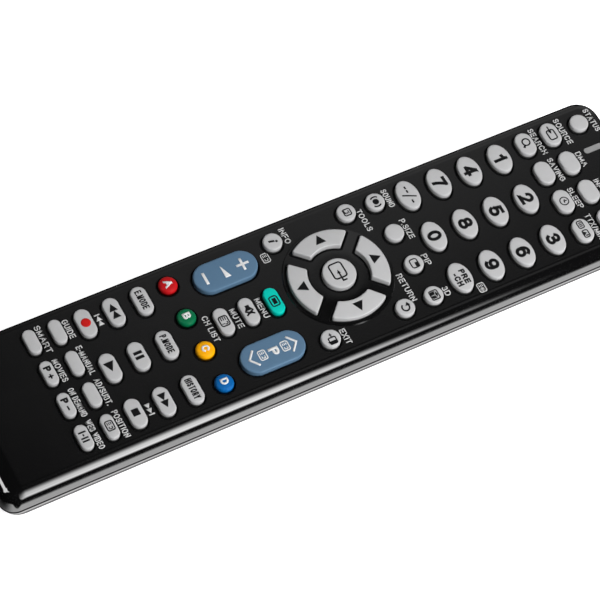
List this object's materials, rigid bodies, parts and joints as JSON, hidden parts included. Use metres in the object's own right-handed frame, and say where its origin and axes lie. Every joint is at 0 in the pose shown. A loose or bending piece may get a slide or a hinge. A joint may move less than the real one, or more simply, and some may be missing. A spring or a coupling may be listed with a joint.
{
  "type": "tv remote control",
  "caption": "Slim black handheld infrared remote: grey oval, round and bar keys, a four-way ring, two blue rockers, coloured keys and a sliding battery cover.",
  "frame": {"origin": "under the middle of the flat back, which lies on z = 0", "axes": "+X across the key face to the right, +Y towards the infrared end, +Z out of the key face"},
  "size_m": [0.049, 0.212, 0.0224],
  "materials": {
    "case_black": "satin black face with glossy shoulders and side walls",
    "back_black": "fine spark texture, satin black",
    "key_grey": "coated silicone, light grey, satin",
    "key_slate": "coated silicone, slate blue, satin",
    "key_teal": "coated silicone, teal, satin",
    "key_red": "coated silicone, red, satin",
    "key_green": "coated silicone, green, satin",
    "key_yellow": "coated silicone, amber, satin",
    "key_blue": "coated silicone, blue, satin",
    "smoked_window": "very dark red tinted polycarbonate, polished",
    "indicator_grey": "milky grey light guide",
    "sheet_silicone": "plain silicone sheet",
    "board_green": "phenolic board with green solder mask",
    "component_black": "moulded component body",
    "resonator_blue": "dipped ceramic resonator",
    "diode_clear": "clear epoxy diode body",
    "cell_jacket": "printed metal jacket, satin, plain",
    "contact_metal": "nickel plated spring steel strip"
  },
  "bodies": {
    "root": {"upper_case": "case_black", "lower_case": "back_black", "ir_window": "smoked_window", "indicator_lens": "indicator_grey", "keypad_sheet": "sheet_silicone", "circuit_board": "board_green", "controller_chip": "component_black", "resonator": "resonator_blue", "capacitor": "component_black", "infrared_led": "diode_clear", "indicator_led": "diode_clear", "battery_cells": "cell_jacket", "battery_contacts": "contact_metal"},
    "battery_cover": {"battery_cover": "back_black"},
    "status_key": {"status_key": "key_grey"},
    "power_key": {"power_key": "key_red"},
    "tools_key": {"tools_key": "key_grey"},
    "return_key": {"return_key": "key_grey"},
    "info_key": {"info_key": "key_grey"},
    "exit_key": {"exit_key": "key_grey"},
    "ok_key": {"ok_key": "key_grey"},
    "menu_key": {"menu_key": "key_teal"},
    "mute_key": {"mute_key": "key_grey"},
    "channel_list_key": {"channel_list_key": "key_grey"},
    "red_key": {"red_key": "key_red"},
    "green_key": {"green_key": "key_green"},
    "yellow_key": {"yellow_key": "key_yellow"},
    "blue_key": {"blue_key": "key_blue"},
    "up_key": {"up_key": "key_grey"},
    "down_key": {"down_key": "key_grey"},
    "left_key": {"left_key": "key_grey"},
    "right_key": {"right_key": "key_grey"},
    "key_1": {"key_1": "key_grey"},
    "key_2": {"key_2": "key_grey"},
    "key_3": {"key_3": "key_grey"},
    "key_4": {"key_4": "key_grey"},
    "key_5": {"key_5": "key_grey"},
    "key_6": {"key_6": "key_grey"},
    "key_7": {"key_7": "key_grey"},
    "key_8": {"key_8": "key_grey"},
    "key_9": {"key_9": "key_grey"},
    "dash_key": {"dash_key": "key_grey"},
    "key_0": {"key_0": "key_grey"},
    "previous_channel_key": {"previous_channel_key": "key_grey"},
    "energy_mode_key": {"energy_mode_key": "key_grey"},
    "picture_mode_key": {"picture_mode_key": "key_grey"},
    "history_key": {"history_key": "key_grey"},
    "rewind_key": {"rewind_key": "key_grey"},
    "pause_key": {"pause_key": "key_grey"},
    "forward_key": {"forward_key": "key_grey"},
    "record_key": {"record_key": "key_grey"},
    "play_key": {"play_key": "key_grey"},
    "stop_key": {"stop_key": "key_grey"},
    "source_row_keys": {"source_row_keys": "key_grey"},
    "search_row_keys": {"search_row_keys": "key_grey"},
    "picture_row_keys": {"picture_row_keys": "key_grey"},
    "guide_row_keys": {"guide_row_keys": "key_grey"},
    "smart_row_keys": {"smart_row_keys": "key_grey"},
    "volume_rocker": {"volume_rocker": "key_slate"},
    "channel_rocker": {"channel_rocker": "key_slate"}
  },
  "joints": [
    {"name": "battery_cover_slide", "type": "slide", "parent": "root", "child": "battery_cover", "axis": [0, -1, 0], "range_m": [0, 0.007]},
    {"name": "status_key_press", "type": "slide", "parent": "root", "child": "status_key", "axis": [0, 0, -1], "range_m": [0, 0.0009], "stiffness_N_per_m": 800},
    {"name": "power_key_press", "type": "slide", "parent": "root", "child": "power_key", "axis": [0, 0, -1], "range_m": [0, 0.0009], "stiffness_N_per_m": 800},
    {"name": "tools_key_press", "type": "slide", "parent": "root", "child": "tools_key", "axis": [0, 0, -1], "range_m": [0, 0.0009], "stiffness_N_per_m": 800},
    {"name": "return_key_press", "type": "slide", "parent": "root", "child": "return_key", "axis": [0, 0, -1], "range_m": [0, 0.0009], "stiffness_N_per_m": 800},
    {"name": "info_key_press", "type": "slide", "parent": "root", "child": "info_key", "axis": [0, 0, -1], "range_m": [0, 0.0009], "stiffness_N_per_m": 800},
    {"name": "exit_key_press", "type": "slide", "parent": "root", "child": "exit_key", "axis": [0, 0, -1], "range_m": [0, 0.0009], "stiffness_N_per_m": 800},
    {"name": "ok_key_press", "type": "slide", "parent": "root", "child": "ok_key", "axis": [0, 0, -1], "range_m": [0, 0.0009], "stiffness_N_per_m": 800},
    {"name": "menu_key_press", "type": "slide", "parent": "root", "child": "menu_key", "axis": [0, 0, -1], "range_m": [0, 0.0009], "stiffness_N_per_m": 800},
    {"name": "mute_key_press", "type": "slide", "parent": "root", "child": "mute_key", "axis": [0, 0, -1], "range_m": [0, 0.0009], "stiffness_N_per_m": 800},
    {"name": "channel_list_key_press", "type": "slide", "parent": "root", "child": "channel_list_key", "axis": [0, 0, -1], "range_m": [0, 0.0009], "stiffness_N_per_m": 800},
    {"name": "red_key_press", "type": "slide", "parent": "root", "child": "red_key", "axis": [0, 0, -1], "range_m": [0, 0.0009], "stiffness_N_per_m": 800},
    {"name": "green_key_press", "type": "slide", "parent": "root", "child": "green_key", "axis": [0, 0, -1], "range_m": [0, 0.0009], "stiffness_N_per_m": 800},
    {"name": "yellow_key_press", "type": "slide", "parent": "root", "child": "yellow_key", "axis": [0, 0, -1], "range_m": [0, 0.0009], "stiffness_N_per_m": 800},
    {"name": "blue_key_press", "type": "slide", "parent": "root", "child": "blue_key", "axis": [0, 0, -1], "range_m": [0, 0.0009], "stiffness_N_per_m": 800},
    {"name": "up_key_press", "type": "slide", "parent": "root", "child": "up_key", "axis": [0, 0, -1], "range_m": [0, 0.0009], "stiffness_N_per_m": 800},
    {"name": "down_key_press", "type": "slide", "parent": "root", "child": "down_key", "axis": [0, 0, -1], "range_m": [0, 0.0009], "stiffness_N_per_m": 800},
    {"name": "left_key_press", "type": "slide", "parent": "root", "child": "left_key", "axis": [0, 0, -1], "range_m": [0, 0.0009], "stiffness_N_per_m": 800},
    {"name": "right_key_press", "type": "slide", "parent": "root", "child": "right_key", "axis": [0, 0, -1], "range_m": [0, 0.0009], "stiffness_N_per_m": 800},
    {"name": "key_1_press", "type": "slide", "parent": "root", "child": "key_1", "axis": [0, 0, -1], "range_m": [0, 0.0009], "stiffness_N_per_m": 800},
    {"name": "key_2_press", "type": "slide", "parent": "root", "child": "key_2", "axis": [0, 0, -1], "range_m": [0, 0.0009], "stiffness_N_per_m": 800},
    {"name": "key_3_press", "type": "slide", "parent": "root", "child": "key_3", "axis": [0, 0, -1], "range_m": [0, 0.0009], "stiffness_N_per_m": 800},
    {"name": "key_4_press", "type": "slide", "parent": "root", "child": "key_4", "axis": [0, 0, -1], "range_m": [0, 0.0009], "stiffness_N_per_m": 800},
    {"name": "key_5_press", "type": "slide", "parent": "root", "child": "key_5", "axis": [0, 0, -1], "range_m": [0, 0.0009], "stiffness_N_per_m": 800},
    {"name": "key_6_press", "type": "slide", "parent": "root", "child": "key_6", "axis": [0, 0, -1], "range_m": [0, 0.0009], "stiffness_N_per_m": 800},
    {"name": "key_7_press", "type": "slide", "parent": "root", "child": "key_7", "axis": [0, 0, -1], "range_m": [0, 0.0009], "stiffness_N_per_m": 800},
    {"name": "key_8_press", "type": "slide", "parent": "root", "child": "key_8", "axis": [0, 0, -1], "range_m": [0, 0.0009], "stiffness_N_per_m": 800},
    {"name": "key_9_press", "type": "slide", "parent": "root", "child": "key_9", "axis": [0, 0, -1], "range_m": [0, 0.0009], "stiffness_N_per_m": 800},
    {"name": "dash_key_press", "type": "slide", "parent": "root", "child": "dash_key", "axis": [0, 0, -1], "range_m": [0, 0.0009], "stiffness_N_per_m": 800},
    {"name": "key_0_press", "type": "slide", "parent": "root", "child": "key_0", "axis": [0, 0, -1], "range_m": [0, 0.0009], "stiffness_N_per_m": 800},
    {"name": "previous_channel_key_press", "type": "slide", "parent": "root", "child": "previous_channel_key", "axis": [0, 0, -1], "range_m": [0, 0.0009], "stiffness_N_per_m": 800},
    {"name": "energy_mode_key_press", "type": "slide", "parent": "root", "child": "energy_mode_key", "axis": [0, 0, -1], "range_m": [0, 0.0009], "stiffness_N_per_m": 800},
    {"name": "picture_mode_key_press", "type": "slide", "parent": "root", "child": "picture_mode_key", "axis": [0, 0, -1], "range_m": [0, 0.0009], "stiffness_N_per_m": 800},
    {"name": "history_key_press", "type": "slide", "parent": "root", "child": "history_key", "axis": [0, 0, -1], "range_m": [0, 0.0009], "stiffness_N_per_m": 800},
    {"name": "rewind_key_press", "type": "slide", "parent": "root", "child": "rewind_key", "axis": [0, 0, -1], "range_m": [0, 0.0009], "stiffness_N_per_m": 800},
    {"name": "pause_key_press", "type": "slide", "parent": "root", "child": "pause_key", "axis": [0, 0, -1], "range_m": [0, 0.0009], "stiffness_N_per_m": 800},
    {"name": "forward_key_press", "type": "slide", "parent": "root", "child": "forward_key", "axis": [0, 0, -1], "range_m": [0, 0.0009], "stiffness_N_per_m": 800},
    {"name": "record_key_press", "type": "slide", "parent": "root", "child": "record_key", "axis": [0, 0, -1], "range_m": [0, 0.0009], "stiffness_N_per_m": 800},
    {"name": "play_key_press", "type": "slide", "parent": "root", "child": "play_key", "axis": [0, 0, -1], "range_m": [0, 0.0009], "stiffness_N_per_m": 800},
    {"name": "stop_key_press", "type": "slide", "parent": "root", "child": "stop_key", "axis": [0, 0, -1], "range_m": [0, 0.0009], "stiffness_N_per_m": 800},
    {"name": "source_row_keys_press", "type": "slide", "parent": "root", "child": "source_row_keys", "axis": [0, 0, -1], "range_m": [0, 0.0009], "stiffness_N_per_m": 800},
    {"name": "search_row_keys_press", "type": "slide", "parent": "root", "child": "search_row_keys", "axis": [0, 0, -1], "range_m": [0, 0.0009], "stiffness_N_per_m": 800},
    {"name": "picture_row_keys_press", "type": "slide", "parent": "root", "child": "picture_row_keys", "axis": [0, 0, -1], "range_m": [0, 0.0009], "stiffness_N_per_m": 800},
    {"name": "guide_row_keys_press", "type": "slide", "parent": "root", "child": "guide_row_keys", "axis": [0, 0, -1], "range_m": [0, 0.0009], "stiffness_N_per_m": 800},
    {"name": "smart_row_keys_press", "type": "slide", "parent": "root", "child": "smart_row_keys", "axis": [0, 0, -1], "range_m": [0, 0.0009], "stiffness_N_per_m": 800},
    {"name": "volume_rocker_tilt", "type": "hinge", "parent": "root", "child": "volume_rocker", "pos_m": [-0.01405, -0.02115, 0.0172], "axis": [1, 0, 0], "range_deg": [-3.5, 3.5], "stiffness_Nm_per_rad": 0.1},
    {"name": "channel_rocker_tilt", "type": "hinge", "parent": "root", "child": "channel_rocker", "pos_m": [0.01405, -0.02115, 0.0172], "axis": [1, 0, 0], "range_deg": [-3.5, 3.5], "stiffness_Nm_per_rad": 0.1}
  ]
}
